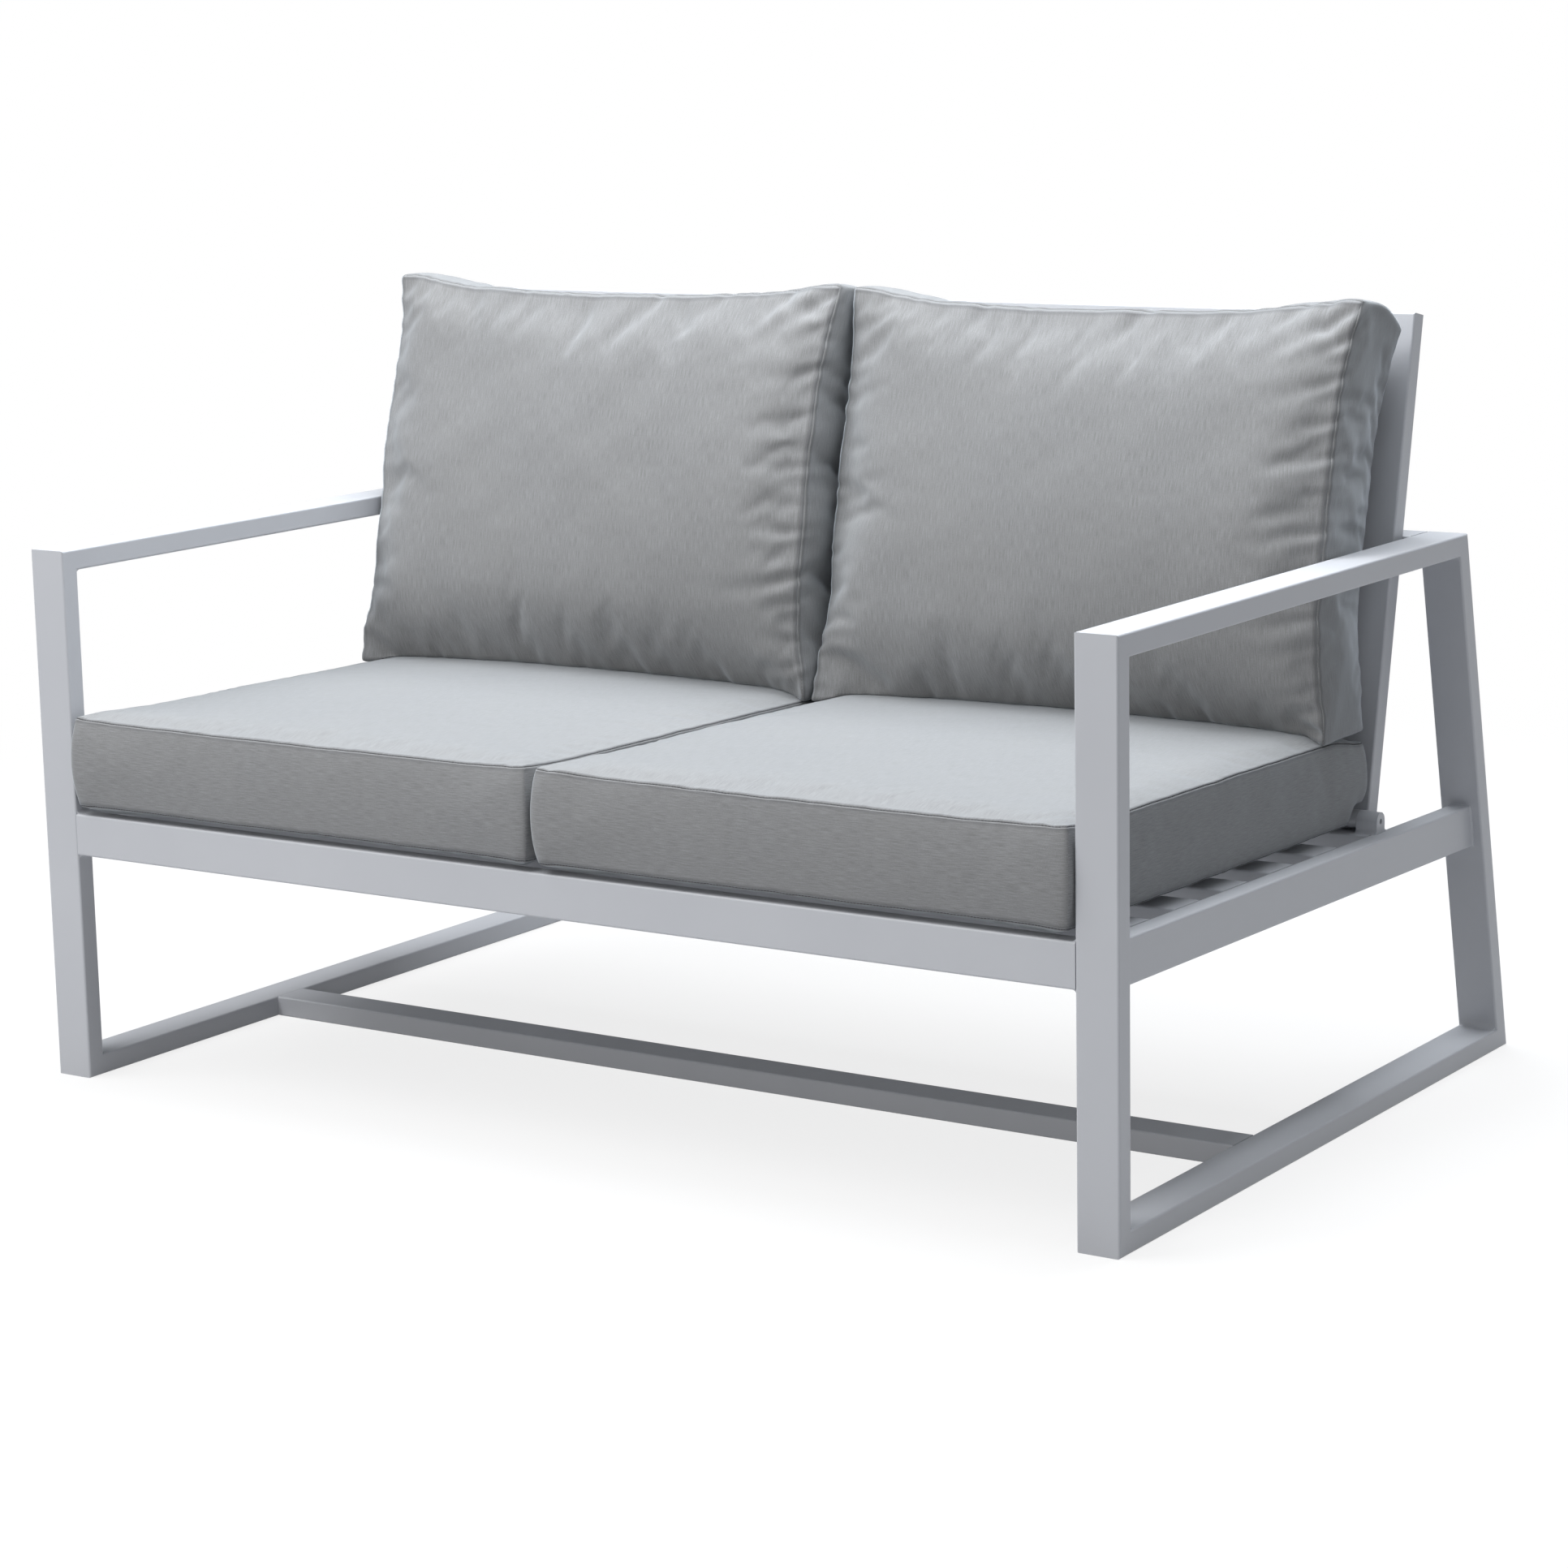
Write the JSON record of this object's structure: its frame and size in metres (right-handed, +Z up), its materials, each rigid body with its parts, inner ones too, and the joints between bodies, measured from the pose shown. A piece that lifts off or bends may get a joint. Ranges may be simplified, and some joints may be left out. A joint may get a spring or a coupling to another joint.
{
  "type": "patio loveseat",
  "caption": "Outdoor loveseat with a mitred rectangular tube frame, slatted seat and back, and loose box seat and back cushions.",
  "frame": {"origin": "on the floor, in the middle of the whole seat's width and depth", "axes": "+X to the sitter's left, which is the viewer's right from the front; +Y to the rear; +Z up"},
  "size_m": [1.46, 0.9797, 0.919],
  "materials": {
    "frame_paint": "light grey satin powder coat over dressed welds",
    "cushion_fabric": "mid grey heathered outdoor canvas, matte",
    "bright_steel": "zinc plated steel hardware",
    "grey_plastic": "moulded light grey plastic"
  },
  "bodies": {
    "frame": {"arm_inserts": "bright_steel", "back_bolts": "bright_steel", "back_bottom_rail": "frame_paint", "back_slat_1": "frame_paint", "back_slat_2": "frame_paint", "back_slat_3": "frame_paint", "back_slat_4": "frame_paint", "back_spacers": "grey_plastic", "back_top_rail": "frame_paint", "centre_seat_rail": "frame_paint", "floor_stretcher": "frame_paint", "front_rail": "frame_paint", "left_arm": "frame_paint", "left_back_knuckle": "frame_paint", "left_back_upright": "frame_paint", "left_front_leg": "frame_paint", "left_hinge_lug": "frame_paint", "left_hinge_pin": "bright_steel", "left_rear_leg": "frame_paint", "left_runner": "frame_paint", "left_seat_rail": "frame_paint", "rear_cross_rail": "frame_paint", "rear_seat_rail": "frame_paint", "right_arm": "frame_paint", "right_back_knuckle": "frame_paint", "right_back_upright": "frame_paint", "right_front_leg": "frame_paint", "right_hinge_lug": "frame_paint", "right_hinge_pin": "bright_steel", "right_rear_leg": "frame_paint", "right_runner": "frame_paint", "right_seat_rail": "frame_paint", "seat_slat_1": "frame_paint", "seat_slat_2": "frame_paint", "seat_slat_3": "frame_paint", "seat_slat_4": "frame_paint", "seat_slat_5": "frame_paint", "upright_plugs": "grey_plastic"},
    "left_back_cushion": {"left_back_cushion": "cushion_fabric"},
    "left_seat_cushion": {"left_seat_cushion": "cushion_fabric"},
    "right_back_cushion": {"right_back_cushion": "cushion_fabric"},
    "right_seat_cushion": {"right_seat_cushion": "cushion_fabric"}
  },
  "joints": [
    {"name": "left_seat_lift", "type": "slide", "parent": "frame", "child": "left_seat_cushion", "axis": [0, 0, 1], "range_m": [0, 0.35]},
    {"name": "left_back_lift", "type": "slide", "parent": "left_seat_cushion", "child": "left_back_cushion", "axis": [0, 0, 1], "range_m": [0, 0.3]},
    {"name": "right_seat_lift", "type": "slide", "parent": "frame", "child": "right_seat_cushion", "axis": [0, 0, 1], "range_m": [0, 0.35]},
    {"name": "right_back_lift", "type": "slide", "parent": "right_seat_cushion", "child": "right_back_cushion", "axis": [0, 0, 1], "range_m": [0, 0.3]}
  ]
}
